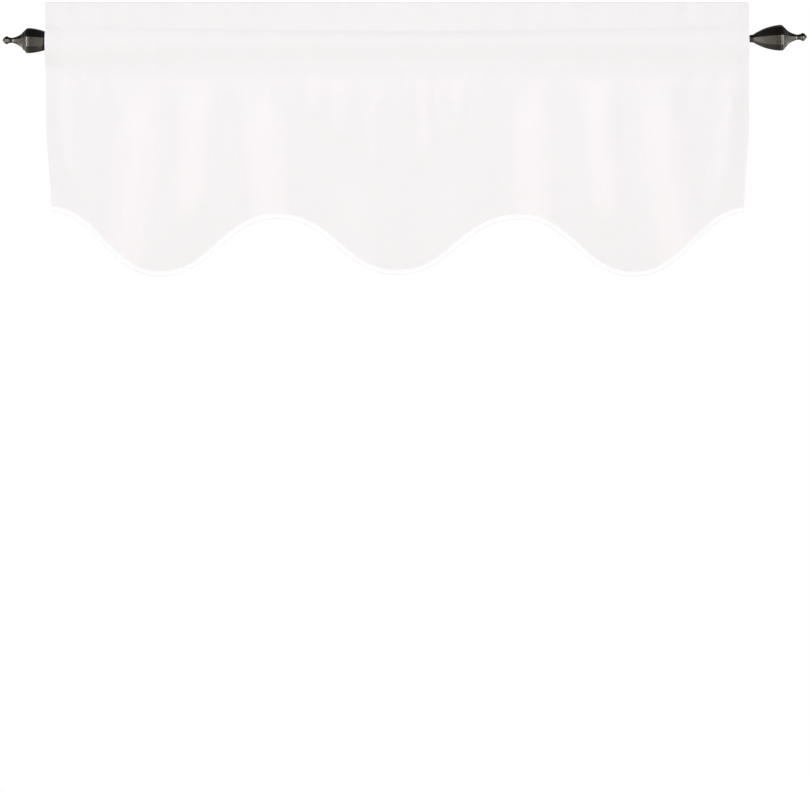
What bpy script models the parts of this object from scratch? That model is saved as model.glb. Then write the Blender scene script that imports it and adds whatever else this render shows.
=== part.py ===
"""A scalloped window valance, gathered on a rod that ends in two octagonal urn finials.

Metres, +Z up. The origin is on the rod's axis, midway between the finials' tips. +X runs along the
rod, to the right of someone who faces the window, and the front of the cloth faces -Y.
"""

import math
from collections import namedtuple

import bmesh
import bpy
from mathutils import Matrix, Vector

MM = 0.001

# Driving dimensions of the cloth
cloth_left = -601.5 * MM
cloth_right = 576.5 * MM
cloth_width = cloth_right - cloth_left
cloth_middle = (cloth_left + cloth_right) / 2
cloth_thickness = 1.2 * MM
top_height = 62.7 * MM
lower_seam_drop = 45.3 * MM
seam_height_mid = 12.7 * MM
seam_height_ends = 23.2 * MM
seam_sag_power = 1.7
cloth_lean = -0.0035
hem_draw_in = 9 * MM
draw_in_start = 130 * MM
draw_in_end = 300 * MM
seam_allowance = 10 * MM

# Spacing of the cloth's layers, from middle surface to middle surface
seam_spread = 1.8 * MM
header_spread = 4.6 * MM

# Driving dimensions of the rod and the finials
tip_to_tip = 1348 * MM
rod_radius = 6.35 * MM
finial_length = 92.5 * MM
finial_sides = 8
rod_sides = 24
plug_radius = 4 * MM
plug_length = 18 * MM
left_finial_turn = math.radians(10)
right_finial_turn = math.radians(16)
left_finial_tilt = math.radians(1.2)
right_finial_tilt = math.radians(1.7)

# Clearances
seat_gap = 0.55 * MM
plug_gap = 0.95 * MM
rod_clearance = 2.6 * MM

# The pocket opens quickly below its upper seam, as this power of the way down, and its left mouth
# narrows from the finial to the rod by this far past the finial's seat.
pocket_rise = 0.5
mouth_ease = 12 * MM

# The tape round the scalloped edge
tape_thickness = 1.0 * MM
tape_gap = 0.55 * MM
tape_cover = 6.8 * MM

# Turning points of the scalloped outline, low at a lobe and high at an arch. The first and the last
# lie past the cloth's sides, which cut their arches short.
Turn = namedtuple("Turn", "x z")
scallop_turns = (
    Turn(x=-612 * MM, z=-284.3 * MM),
    Turn(x=-418 * MM, z=-394.3 * MM),
    Turn(x=-218 * MM, z=-299.3 * MM),
    Turn(x=-14 * MM, z=-393.3 * MM),
    Turn(x=192 * MM, z=-301.3 * MM),
    Turn(x=389 * MM, z=-397.3 * MM),
    Turn(x=591 * MM, z=-289.3 * MM),
)
scallop_fullness = 0.04

arch_height = max(turn.z for turn in scallop_turns)
lobe_height = min(turn.z for turn in scallop_turns)

# Folds of the hanging panel: soft ridges towards the room. A ridge leans from top_x at the lower
# seam to hem_x at the hem. It rises from start, stays full to end and fades below it, both as shares
# of the way down. The rise and the fade each take fold_onset of the ridge's own length.
Fold = namedtuple("Fold", "top_x hem_x width rise start end")
folds = (
    Fold(top_x=-575 * MM, hem_x=-563 * MM, width=17 * MM, rise=5 * MM, start=0.0, end=0.6),
    Fold(top_x=-437 * MM, hem_x=-482 * MM, width=31 * MM, rise=15 * MM, start=0.0, end=1.0),
    Fold(top_x=-340 * MM, hem_x=-380 * MM, width=26 * MM, rise=10 * MM, start=0.0, end=0.6),
    Fold(top_x=-241 * MM, hem_x=-234 * MM, width=31 * MM, rise=12 * MM, start=0.0, end=1.0),
    Fold(top_x=-150 * MM, hem_x=-160 * MM, width=14 * MM, rise=4 * MM, start=0.0, end=0.25),
    Fold(top_x=-110 * MM, hem_x=-114 * MM, width=15 * MM, rise=4 * MM, start=0.0, end=0.3),
    Fold(top_x=-96 * MM, hem_x=-84 * MM, width=52 * MM, rise=3 * MM, start=0.45, end=1.0),
    Fold(top_x=-54 * MM, hem_x=-56 * MM, width=13 * MM, rise=4 * MM, start=0.0, end=0.4),
    Fold(top_x=31 * MM, hem_x=33 * MM, width=14 * MM, rise=5.5 * MM, start=0.0, end=0.35),
    Fold(top_x=70 * MM, hem_x=72 * MM, width=48 * MM, rise=3 * MM, start=0.45, end=1.0),
    Fold(top_x=88 * MM, hem_x=92 * MM, width=14 * MM, rise=4 * MM, start=0.0, end=0.28),
    Fold(top_x=208 * MM, hem_x=222 * MM, width=32 * MM, rise=12 * MM, start=0.0, end=1.0),
    Fold(top_x=314 * MM, hem_x=352 * MM, width=26 * MM, rise=10 * MM, start=0.0, end=0.6),
    Fold(top_x=408 * MM, hem_x=474 * MM, width=30 * MM, rise=15 * MM, start=0.0, end=1.0),
    Fold(top_x=545 * MM, hem_x=533 * MM, width=19 * MM, rise=5 * MM, start=0.0, end=0.7),
)
fold_onset = 0.45
panel_onset = 0.3
mean_fold = 4.2 * MM
lobe_curl = 3 * MM
lobe_curl_height = 60 * MM

# Small gathers that the rod pushes into the header and the pocket. Each is a wave along the rod,
# whose length drifts between the left end and the right one.
Gather = namedtuple("Gather", "length drift phase share")
gathers = (
    Gather(length=52 * MM, drift=1.3, phase=0.4, share=0.6),
    Gather(length=83 * MM, drift=0.9, phase=2.1, share=0.4),
)
gather_top = 3.4 * MM
gather_seam = 1.2 * MM
gather_panel = 2.6 * MM
gather_panel_peak = 28 * MM
gather_panel_fade = 85 * MM

# The finial's radius across its corners, at heights above its seat on the rod's end
Ring = namedtuple("Ring", "height radius")
finial_rings = (
    Ring(height=92.5 * MM, radius=0.0),
    Ring(height=91.4 * MM, radius=1.8 * MM),
    Ring(height=90.4 * MM, radius=3.2 * MM),
    Ring(height=88.9 * MM, radius=5.0 * MM),
    Ring(height=87.2 * MM, radius=6.4 * MM),
    Ring(height=85.4 * MM, radius=6.9 * MM),
    Ring(height=83.8 * MM, radius=6.7 * MM),
    Ring(height=82.2 * MM, radius=5.6 * MM),
    Ring(height=80.5 * MM, radius=4.9 * MM),
    Ring(height=78.0 * MM, radius=4.6 * MM),
    Ring(height=75.5 * MM, radius=4.5 * MM),
    Ring(height=73.4 * MM, radius=5.0 * MM),
    Ring(height=71.3 * MM, radius=5.8 * MM),
    Ring(height=69.2 * MM, radius=6.6 * MM),
    Ring(height=66.7 * MM, radius=7.7 * MM),
    Ring(height=64.2 * MM, radius=9.2 * MM),
    Ring(height=61.7 * MM, radius=10.9 * MM),
    Ring(height=59.6 * MM, radius=12.9 * MM),
    Ring(height=58.2 * MM, radius=14.3 * MM),
    Ring(height=57.6 * MM, radius=15.4 * MM),
    Ring(height=56.8 * MM, radius=16.4 * MM),
    Ring(height=55.9 * MM, radius=16.9 * MM),
    Ring(height=55.4 * MM, radius=16.7 * MM),
    Ring(height=54.6 * MM, radius=18.4 * MM),
    Ring(height=53.6 * MM, radius=19.7 * MM),
    Ring(height=53.0 * MM, radius=19.5 * MM),
    Ring(height=52.6 * MM, radius=20.6 * MM),
    Ring(height=51.6 * MM, radius=21.5 * MM),
    Ring(height=50.4 * MM, radius=22.0 * MM),
    Ring(height=49.0 * MM, radius=22.3 * MM),
    Ring(height=48.3 * MM, radius=21.6 * MM),
    Ring(height=47.4 * MM, radius=22.2 * MM),
    Ring(height=45.4 * MM, radius=22.1 * MM),
    Ring(height=42.0 * MM, radius=21.6 * MM),
    Ring(height=38.7 * MM, radius=21.2 * MM),
    Ring(height=35.3 * MM, radius=20.5 * MM),
    Ring(height=32.0 * MM, radius=19.8 * MM),
    Ring(height=28.6 * MM, radius=18.9 * MM),
    Ring(height=25.3 * MM, radius=18.0 * MM),
    Ring(height=22.0 * MM, radius=16.9 * MM),
    Ring(height=18.6 * MM, radius=15.6 * MM),
    Ring(height=15.2 * MM, radius=14.1 * MM),
    Ring(height=12.0 * MM, radius=12.5 * MM),
    Ring(height=9.0 * MM, radius=10.9 * MM),
    Ring(height=6.2 * MM, radius=9.5 * MM),
    Ring(height=3.6 * MM, radius=8.0 * MM),
    Ring(height=2.9 * MM, radius=7.0 * MM),
    Ring(height=0.0, radius=7.0 * MM),
)

# The finials sit on the rod's ends, this far from its middle
finial_seat = tip_to_tip / 2 - finial_length

# How finely the cloth is divided
columns = 104
pocket_rows = (0.0, 0.09, 0.28, 0.6, 1.0)
header_rows = (0.0, 0.16, 1.0)
top_rows = (0.0, 0.5, 1.0)
panel_rows = (0.0, 0.1, 0.25, 0.45, 0.7, 1.0)
tiny_step = 0.5 * MM


def ease(share):
    """Rises from 0 to 1 with level ends, and stays there outside them."""
    share = min(max(share, 0.0), 1.0)
    return share * share * (3 - 2 * share)


def blend(first, last, share):
    return first + (last - first) * share


# Heights of the seams and edges, which follow x


def lean(x):
    """The whole cloth hangs a little lower at its right end."""
    return cloth_lean * x


def upper_seam(x):
    reach = abs(x - cloth_middle) / (cloth_width / 2)
    return blend(seam_height_mid, seam_height_ends, reach**seam_sag_power) + lean(x)


def lower_seam(x):
    return lean(x) - lower_seam_drop


def outline(x):
    """Height of the tape's outer edge: a wave between turning points, a little fuller than a cosine."""
    for first, last in zip(scallop_turns, scallop_turns[1:]):
        if x <= last.x:
            break
    turn = math.pi * (x - first.x) / (last.x - first.x)
    wave = (math.cos(turn) - scallop_fullness * math.cos(3 * turn)) / (1 - scallop_fullness)
    return blend(last.z, first.z, (1 + wave) / 2)


def edge_stretch(x):
    """How much longer a vertical step is than one square to the sloping edge."""
    slope = (outline(x + tiny_step) - outline(x - tiny_step)) / (2 * tiny_step)
    return math.hypot(1, slope)


def cloth_edge(x):
    return outline(x) + (tape_thickness + tape_gap) * edge_stretch(x)


def tape_line(x):
    """Height of the tape's upper rim, where it lies on the cloth."""
    return cloth_edge(x) + tape_cover * edge_stretch(x)


# The ways in which the cloth leaves its flat plane


def gather_wave(x):
    """An uneven wave along the rod, from -1 to 1."""
    total = 0.0
    for gather in gathers:
        drift = gather.drift * math.sin(math.pi * (x - cloth_left) / cloth_width)
        total += gather.share * math.sin(math.tau * x / gather.length + gather.phase + drift)
    return total


def gather_depth(x, z):
    """How deep the gathers are at a height: full at the top fold, flat at a seam, gone lower down."""
    if z >= upper_seam(x):
        rise = (z - upper_seam(x)) / (top_height - upper_seam(x))
        return blend(gather_seam, gather_top, ease(rise))
    if z >= lower_seam(x):
        return gather_seam
    below = lower_seam(x) - z
    growth = ease(below / gather_panel_peak)
    fade = 1 - ease((below - gather_panel_peak) / gather_panel_fade)
    return blend(gather_seam, gather_panel, growth) * fade


def fold_depth(x, z):
    """How far the panel stands forward of its mean plane."""
    length = lower_seam(x) - outline(x)
    down = (lower_seam(x) - z) / length
    forward = 0.0
    for fold in folds:
        centre = blend(fold.top_x, fold.hem_x, down)
        across = (x - centre) / fold.width
        onset = fold_onset * (fold.end - fold.start)
        begins = ease((down - fold.start) / onset)
        ends = 1 - ease((down - fold.end) / onset)
        forward += fold.rise * math.exp(-across * across) * begins * ends
    return forward - mean_fold * ease(down / panel_onset)


def curl_depth(x, z):
    """The lobes' tips curl back, because nothing beside them holds them flat."""
    lobe = (arch_height - outline(x)) / (arch_height - lobe_height)
    near_edge = 1 - (z - outline(x)) / lobe_curl_height
    return lobe_curl * lobe * max(near_edge, 0.0) ** 2


def ripple(x, z):
    """How far back the cloth's mean surface lies, before its layers are spread."""
    back = gather_wave(x) * gather_depth(x, z)
    if z < lower_seam(x):
        back += curl_depth(x, z) - fold_depth(x, z)
    return back


def finial_radius_at(height):
    """The finial's radius across its corners at a height above its seat."""
    for upper, lower in zip(finial_rings, finial_rings[1:]):
        if lower.height <= height <= upper.height:
            share = (height - lower.height) / (upper.height - lower.height)
            return blend(lower.radius, upper.radius, share)
    raise ValueError("no part of the finial is at this height")


def pocket_half_width(x):
    """Half of the pocket's width, front to back: room for the rod, and at the left end for the finial."""
    room = rod_clearance + gather_seam + cloth_thickness / 2
    swallowed = -finial_seat - cloth_left
    slack = ease((x - cloth_left) / (swallowed + mouth_ease))
    return room + blend(finial_radius_at(swallowed), rod_radius, slack)


def pocket_bulge(x, share):
    """Share of the pocket's half width at a share of the way from its upper seam to its lower one."""
    peak = upper_seam(x) / (upper_seam(x) - lower_seam(x))
    fall = pocket_rise * (1 / peak - 1)
    most = peak**pocket_rise * (1 - peak) ** fall
    return share**pocket_rise * (1 - share) ** fall / most


# The cloth as one surface, from its free edge at the back, over the top fold, to the scalloped edge


def narrowed(x, z):
    """The sides draw in a little towards the hem."""
    share = ease((-z - draw_in_start) / (draw_in_end - draw_in_start))
    return x - hem_draw_in * share * (x - cloth_middle) / (cloth_width / 2)


def tail_end(x):
    return lower_seam(x) - seam_allowance


def tail_point(x):
    z = tail_end(x)
    return Vector((narrowed(x, z), ripple(x, z) + seam_spread / 2, z))


def pocket_point(x, share, side):
    z = blend(upper_seam(x), lower_seam(x), share)
    spread = seam_spread / 2
    spread += (pocket_half_width(x) - spread) * pocket_bulge(x, share)
    return Vector((x, ripple(x, z) + side * spread, z))


def header_point(x, share, side):
    z = blend(upper_seam(x), top_height + lean(x) - header_spread / 2, share)
    spread = blend(seam_spread, header_spread, ease(share / header_rows[1])) / 2
    return Vector((x, ripple(x, z) + side * spread, z))


def top_point(x, share):
    z = top_height + lean(x) - header_spread / 2
    turn = math.pi * share
    back = header_spread / 2 * math.cos(turn)
    up = header_spread / 2 * math.sin(turn)
    return Vector((x, ripple(x, z) + back, z + up))


def panel_point(x, z):
    return Vector((narrowed(x, z), ripple(x, z) - seam_spread / 2, z))


def cloth_path():
    """The rows of the cloth in order, each a function that gives its point at x."""
    back, front = 1, -1
    rows = [tail_point]
    rows += [lambda x, t=t: pocket_point(x, t, back) for t in reversed(pocket_rows)]
    rows += [lambda x, t=t: header_point(x, t, back) for t in header_rows[1:]]
    rows += [lambda x, t=t: top_point(x, t) for t in top_rows[1:-1]]
    rows += [lambda x, t=t: header_point(x, t, front) for t in reversed(header_rows[1:])]
    rows += [lambda x, t=t: pocket_point(x, t, front) for t in pocket_rows]
    for t in panel_rows:
        rows.append(lambda x, t=t: panel_point(x, blend(tail_end(x), tape_line(x), t)))
    rows.append(lambda x: panel_point(x, cloth_edge(x)))
    return rows


def tape_path():
    """The rows of the tape: down the front of the cloth's edge, under it and up behind it."""
    lie = cloth_thickness / 2 + tape_gap + tape_thickness / 2
    under = tape_gap + tape_thickness / 2
    Row = namedtuple("Row", "on_line out back")
    section = (
        Row(on_line=True, out=0.0, back=-lie),
        Row(on_line=False, out=under / 2, back=-lie),
        Row(on_line=False, out=under, back=-lie / 2),
        Row(on_line=False, out=under, back=lie / 2),
        Row(on_line=False, out=under / 2, back=lie),
        Row(on_line=True, out=0.0, back=lie),
    )

    def point(x, row):
        edge = panel_point(x, cloth_edge(x))
        line = panel_point(x, tape_line(x))
        along = panel_point(x + tiny_step, cloth_edge(x + tiny_step)) - edge
        down = edge - line
        outwards = (down - down.project(along)).normalized()
        backwards = along.cross(outwards).normalized()
        if backwards.y < 0:
            backwards.negate()
        start = line if row.on_line else edge
        return start + outwards * row.out + backwards * row.back

    return [lambda x, row=row: point(x, row) for row in section]


# Ways of making an object


def add_object(name, mesh, material, collection):
    item = bpy.data.objects.new(name, mesh)
    item.data.materials.append(material)
    collection.objects.link(item)
    return item


def sheet(name, rows, thickness, material, collection):
    """A grid whose rows follow the given functions of x, made solid by Solidify."""
    cells = bmesh.new()
    bmesh.ops.create_grid(cells, x_segments=columns, y_segments=len(rows) - 1, size=0.5)
    for vert in cells.verts:
        across = vert.co.x + 0.5
        row = round((vert.co.y + 0.5) * (len(rows) - 1))
        vert.co = rows[row](blend(cloth_left, cloth_right, across))
    mesh = bpy.data.meshes.new(name)
    cells.to_mesh(mesh)
    cells.free()
    mesh.shade_smooth()
    item = add_object(name, mesh, material, collection)
    shell = item.modifiers.new("Thickness", "SOLIDIFY")
    shell.thickness = thickness
    shell.offset = 0
    return item


def turned(name, profile, steps, smooth, material, collection):
    """A profile of heights and radii, from the top down its outer side, turned about Z."""
    line = bmesh.new()
    verts = [line.verts.new((radius, 0, height)) for height, radius in profile]
    for first, last in zip(verts, verts[1:]):
        line.edges.new((first, last))
    mesh = bpy.data.meshes.new(name)
    line.to_mesh(mesh)
    line.free()
    item = add_object(name, mesh, material, collection)
    spin = item.modifiers.new("Turn", "SCREW")
    spin.steps = spin.render_steps = steps
    spin.use_merge_vertices = True
    spin.merge_threshold = 0.1 * MM
    spin.use_smooth_shade = smooth
    return item


def finish(name, colour, roughness, metallic):
    material = bpy.data.materials.new(name)
    material.use_nodes = True
    shader = material.node_tree.nodes["Principled BSDF"]
    shader.inputs["Base Color"].default_value = (*colour, 1)
    shader.inputs["Roughness"].default_value = roughness
    shader.inputs["Metallic"].default_value = metallic
    return material


# The pieces


def add_rod(material, collection):
    """A plain rod with a blind bore in each end for a finial's plug."""
    half = finial_seat - seat_gap
    bore = plug_radius + plug_gap
    floor = half - plug_length - plug_gap
    profile = (
        (floor, 0),
        (floor, bore),
        (half, bore),
        (half, rod_radius),
        (-half, rod_radius),
        (-half, bore),
        (-floor, bore),
        (-floor, 0),
    )
    rod = turned("curtain_rod", profile, rod_sides, True, material, collection)
    rod.rotation_euler.y = math.radians(90)


def add_finial(name, side, turn, tilt, material, collection):
    """An octagonal urn on the rod's end. Its front face looks down by turn, and its tip points up by tilt."""
    plug = ((0, plug_radius), (-plug_length, plug_radius), (-plug_length, 0))
    finial = turned(name, finial_rings + plug, finial_sides, False, material, collection)
    lay_down = Matrix.Rotation(side * math.radians(90), 4, "Y")
    half_face = math.pi / finial_sides
    about_rod = Matrix.Rotation(turn + half_face, 4, "X")
    lift = Matrix.Rotation(-side * tilt, 4, "Y")
    finial.matrix_world = Matrix.Translation((side * finial_seat, 0, 0)) @ lift @ about_rod @ lay_down


def clear_scene():
    for item in list(bpy.data.objects):
        bpy.data.objects.remove(item)


def main():
    clear_scene()
    valance = bpy.data.collections.new("window_valance")
    bpy.context.scene.collection.children.link(valance)
    cloth = finish("white microfibre", (0.90, 0.88, 0.885), 0.85, 0.0)
    tape = finish("bright white tape", (0.96, 0.96, 0.96), 0.7, 0.0)
    bronze = finish("dark bronze", (0.030, 0.027, 0.023), 0.28, 0.85)
    sheet("valance_panel", cloth_path(), cloth_thickness, cloth, valance)
    sheet("scallop_binding", tape_path(), tape_thickness, tape, valance)
    add_rod(bronze, valance)
    add_finial("finial_left", -1, left_finial_turn, left_finial_tilt, bronze, valance)
    add_finial("finial_right", 1, right_finial_turn, right_finial_tilt, bronze, valance)


main()
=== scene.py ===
# %% [markdown]
# # A scalloped valance on its rod
#
# A valance is a short, wide curtain that hangs by itself or above longer ones. This one is a single
# cut of white microfibre. Its top is folded back and sewn twice, which gives a flat ruffle above and a
# pocket for the rod below. The lower edge is cut in scallops and bound with a whiter tape.
#
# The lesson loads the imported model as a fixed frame, and then makes the visible pieces on it: the
# cloth, its tape, its stitching and the two finials. The rod stays as it is and only gets its finish.

# %% Load the frame
import math
from collections import namedtuple

import bmesh
import bpy
from mathutils import Matrix, Vector, noise


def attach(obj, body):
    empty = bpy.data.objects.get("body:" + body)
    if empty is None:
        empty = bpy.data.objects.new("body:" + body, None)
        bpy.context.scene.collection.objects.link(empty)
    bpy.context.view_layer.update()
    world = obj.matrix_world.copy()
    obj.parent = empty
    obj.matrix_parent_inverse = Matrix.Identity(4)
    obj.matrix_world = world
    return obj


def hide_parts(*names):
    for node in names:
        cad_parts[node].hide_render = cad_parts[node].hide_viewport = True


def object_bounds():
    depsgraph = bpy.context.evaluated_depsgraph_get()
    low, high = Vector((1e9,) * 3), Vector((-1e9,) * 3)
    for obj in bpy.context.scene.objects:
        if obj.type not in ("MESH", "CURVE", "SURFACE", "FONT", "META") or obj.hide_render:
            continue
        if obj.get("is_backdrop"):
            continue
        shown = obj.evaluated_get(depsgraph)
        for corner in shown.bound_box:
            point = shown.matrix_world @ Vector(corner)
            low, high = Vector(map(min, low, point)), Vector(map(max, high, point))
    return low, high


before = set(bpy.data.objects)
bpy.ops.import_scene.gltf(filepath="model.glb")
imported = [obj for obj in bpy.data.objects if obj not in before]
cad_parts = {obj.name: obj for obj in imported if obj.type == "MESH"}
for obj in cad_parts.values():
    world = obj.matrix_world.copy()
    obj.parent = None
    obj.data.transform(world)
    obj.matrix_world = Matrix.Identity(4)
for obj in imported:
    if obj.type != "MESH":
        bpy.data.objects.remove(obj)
cad_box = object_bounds()
mm = 0.001
print("nodes:", ", ".join(sorted(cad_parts)))

# %% [markdown]
# ## Two shapes of change
#
# Cloth has no corners, so nearly every size below passes from one value to the next along a curve
# with level ends. A straight blend is kept for what a ruler would draw.


# %% Ease and blend
def ease(share):
    """Rises from 0 to 1 with level ends, and stays there outside them."""
    share = min(max(share, 0.0), 1.0)
    return share * share * (3 - 2 * share)


def blend(first, last, share):
    return first + (last - first) * share


print("a quarter of the way, ease gives", ease(0.25), "and blend gives", blend(0, 1, 0.25))

# %% [markdown]
# ## The camera
#
# The valance was photographed square on through a long lens, so upright lines stay upright and the
# rod's two ends look the same size. The rod runs uphill to the right by a fifth of a degree, and that
# is the camera's roll. The camera stands level with the middle of the picture, which needs no shift.

# %% Camera
picture_width_px = 809
picture_height_px = 792
rod_middle_px = (404.75, 39.87)
mm_per_px = 1.675
camera_roll = -0.0035
camera_distance = 6.0

right_of_rod = (picture_width_px / 2 - rod_middle_px[0]) * mm_per_px * mm
below_rod = (picture_height_px / 2 - rod_middle_px[1]) * mm_per_px * mm

lens = bpy.data.cameras.new("long lens")
lens.sensor_fit = "HORIZONTAL"
lens.lens = lens.sensor_width * camera_distance / (picture_width_px * mm_per_px * mm)
camera = bpy.data.objects.new("camera", lens)
bpy.context.collection.objects.link(camera)
bpy.context.scene.camera = camera
facing = Matrix.Rotation(math.radians(90), 3, "X") @ Matrix.Rotation(camera_roll, 3, "Z")
camera.rotation_euler = facing.to_euler()
camera.location = (right_of_rod + camera_roll * below_rod, -camera_distance, -below_rod)
print(f"lens {lens.lens:.0f} mm, {camera_distance} m away")

# %% [markdown]
# ## The cloth's measures
#
# These are the same sizes that the solid cloth was made to. The scalloped edge is a wave between
# turning points, low at a lobe and high at an arch. The folds are soft ridges, each with its own
# place, width and height, because gathered cloth never falls in an even wave.

# %% Sizes of the cloth
cloth_left = -601.5 * mm
cloth_right = 576.5 * mm
cloth_width = cloth_right - cloth_left
cloth_middle = (cloth_left + cloth_right) / 2
cloth_thickness = 0.8 * mm
top_height = 62.7 * mm
lower_seam_drop = 45.3 * mm
seam_height_mid = 12.7 * mm
seam_height_ends = 23.2 * mm
seam_sag_power = 1.7
cloth_lean = -0.0035
hem_draw_in = 9 * mm
draw_in_start = 130 * mm
draw_in_end = 300 * mm
seam_allowance = 10 * mm
seam_spread = 1.8 * mm
header_spread = 4.6 * mm

Turn = namedtuple("Turn", "x z")
scallop_turns = (
    Turn(x=-612 * mm, z=-284.3 * mm),
    Turn(x=-418 * mm, z=-394.3 * mm),
    Turn(x=-218 * mm, z=-299.3 * mm),
    Turn(x=-14 * mm, z=-393.3 * mm),
    Turn(x=192 * mm, z=-301.3 * mm),
    Turn(x=389 * mm, z=-397.3 * mm),
    Turn(x=591 * mm, z=-289.3 * mm),
)
scallop_fullness = 0.04
arch_height = max(turn.z for turn in scallop_turns)
lobe_height = min(turn.z for turn in scallop_turns)

tape_thickness = 0.6 * mm
tape_gap = 0.15 * mm
tape_cover = 7.0 * mm
tape_wrap = cloth_thickness / 2 + tape_gap + tape_thickness
print(f"cloth {cloth_width / mm:.0f} mm wide, lobes {-lobe_height / mm:.0f} mm below the rod")

# %% Sizes of the folds
Fold = namedtuple("Fold", "top_x hem_x width rise start end")
folds = (
    Fold(top_x=-575 * mm, hem_x=-563 * mm, width=17 * mm, rise=5 * mm, start=0.0, end=0.6),
    Fold(top_x=-437 * mm, hem_x=-482 * mm, width=31 * mm, rise=15 * mm, start=0.0, end=1.0),
    Fold(top_x=-340 * mm, hem_x=-380 * mm, width=26 * mm, rise=10 * mm, start=0.0, end=0.6),
    Fold(top_x=-241 * mm, hem_x=-234 * mm, width=31 * mm, rise=12 * mm, start=0.0, end=1.0),
    Fold(top_x=-150 * mm, hem_x=-160 * mm, width=14 * mm, rise=4 * mm, start=0.0, end=0.25),
    Fold(top_x=-110 * mm, hem_x=-114 * mm, width=15 * mm, rise=4 * mm, start=0.0, end=0.3),
    Fold(top_x=-96 * mm, hem_x=-84 * mm, width=52 * mm, rise=3 * mm, start=0.45, end=1.0),
    Fold(top_x=-54 * mm, hem_x=-56 * mm, width=13 * mm, rise=4 * mm, start=0.0, end=0.4),
    Fold(top_x=31 * mm, hem_x=33 * mm, width=14 * mm, rise=5.5 * mm, start=0.0, end=0.35),
    Fold(top_x=70 * mm, hem_x=72 * mm, width=48 * mm, rise=3 * mm, start=0.45, end=1.0),
    Fold(top_x=88 * mm, hem_x=92 * mm, width=14 * mm, rise=4 * mm, start=0.0, end=0.28),
    Fold(top_x=208 * mm, hem_x=222 * mm, width=32 * mm, rise=12 * mm, start=0.0, end=1.0),
    Fold(top_x=314 * mm, hem_x=352 * mm, width=26 * mm, rise=10 * mm, start=0.0, end=0.6),
    Fold(top_x=408 * mm, hem_x=474 * mm, width=30 * mm, rise=15 * mm, start=0.0, end=1.0),
    Fold(top_x=545 * mm, hem_x=533 * mm, width=19 * mm, rise=5 * mm, start=0.0, end=0.7),
)
fold_onset = 0.45
panel_onset = 0.3
mean_fold = 4.2 * mm
lobe_curl = 3 * mm
lobe_curl_height = 60 * mm

Gather = namedtuple("Gather", "length drift phase share")
gathers = (
    Gather(length=52 * mm, drift=1.3, phase=0.4, share=0.6),
    Gather(length=83 * mm, drift=0.9, phase=2.1, share=0.4),
)
gather_top = 3.4 * mm
gather_seam = 1.2 * mm
gather_panel = 2.6 * mm
gather_panel_peak = 28 * mm
gather_panel_fade = 85 * mm
print(len(folds), "folds and", len(gathers), "waves of gathers")

# %% [markdown]
# ## Creases
#
# On top of its folds the cloth has small marks: the tips of gathers that fan out from the lower seam,
# short tucks over the arches where the tape pulls, and one long crease down the middle lobe. Each is a
# soft bump with a place, a tilt, a length and a width. A positive rise stands towards the room.

# %% Sizes of the creases
Crease = namedtuple("Crease", "x z tilt length width rise")
creases = (
    # Gather tips at the left end and at the right end
    Crease(x=-574 * mm, z=-75 * mm, tilt=4, length=26 * mm, width=7 * mm, rise=2.2 * mm),
    Crease(x=-540 * mm, z=-61 * mm, tilt=-14, length=17 * mm, width=6 * mm, rise=2.0 * mm),
    Crease(x=-494 * mm, z=-65 * mm, tilt=-10, length=19 * mm, width=7 * mm, rise=1.8 * mm),
    Crease(x=468 * mm, z=-65 * mm, tilt=16, length=17 * mm, width=8 * mm, rise=2.2 * mm),
    Crease(x=511 * mm, z=-59 * mm, tilt=10, length=17 * mm, width=6 * mm, rise=2.0 * mm),
    Crease(x=544 * mm, z=-99 * mm, tilt=-3, length=34 * mm, width=7 * mm, rise=1.8 * mm),
    # Tucks over the arches
    Crease(x=-180 * mm, z=-263 * mm, tilt=-12, length=17 * mm, width=9 * mm, rise=-2.0 * mm),
    Crease(x=-283 * mm, z=-272 * mm, tilt=14, length=19 * mm, width=9 * mm, rise=-2.0 * mm),
    Crease(x=158 * mm, z=-263 * mm, tilt=10, length=18 * mm, width=9 * mm, rise=-2.2 * mm),
    Crease(x=124 * mm, z=-296 * mm, tilt=20, length=15 * mm, width=7 * mm, rise=-1.5 * mm),
    Crease(x=-150 * mm, z=-296 * mm, tilt=-20, length=15 * mm, width=7 * mm, rise=-1.5 * mm),
    Crease(x=262 * mm, z=-261 * mm, tilt=-8, length=22 * mm, width=10 * mm, rise=-1.6 * mm),
    # Dents between the folds
    Crease(x=-398 * mm, z=-195 * mm, tilt=8, length=18 * mm, width=9 * mm, rise=-1.6 * mm),
    Crease(x=-328 * mm, z=-195 * mm, tilt=6, length=20 * mm, width=8 * mm, rise=-1.6 * mm),
    Crease(x=-281 * mm, z=-219 * mm, tilt=0, length=22 * mm, width=8 * mm, rise=-1.5 * mm),
    Crease(x=168 * mm, z=-206 * mm, tilt=2, length=22 * mm, width=8 * mm, rise=-1.5 * mm),
    Crease(x=361 * mm, z=-137 * mm, tilt=-10, length=26 * mm, width=8 * mm, rise=-1.7 * mm),
    Crease(x=398 * mm, z=-181 * mm, tilt=-12, length=26 * mm, width=8 * mm, rise=-1.8 * mm),
    Crease(x=-175 * mm, z=-97 * mm, tilt=4, length=20 * mm, width=7 * mm, rise=-1.3 * mm),
    Crease(x=-66 * mm, z=-103 * mm, tilt=0, length=22 * mm, width=7 * mm, rise=-1.2 * mm),
    # The long crease down the middle lobe
    Crease(x=-8 * mm, z=-323 * mm, tilt=0, length=44 * mm, width=6 * mm, rise=-1.6 * mm),
)
print(len(creases), "creases")

# %% [markdown]
# ## Seams and edges
#
# The upper seam sags a little towards the middle and the lower one is straight. The tape's outer
# edge is the outline that the eye sees, and the cloth ends a tape's thickness above it.


# %% Heights that follow x
def lean(x):
    """The whole cloth hangs a little lower at its right end."""
    return cloth_lean * x


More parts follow.
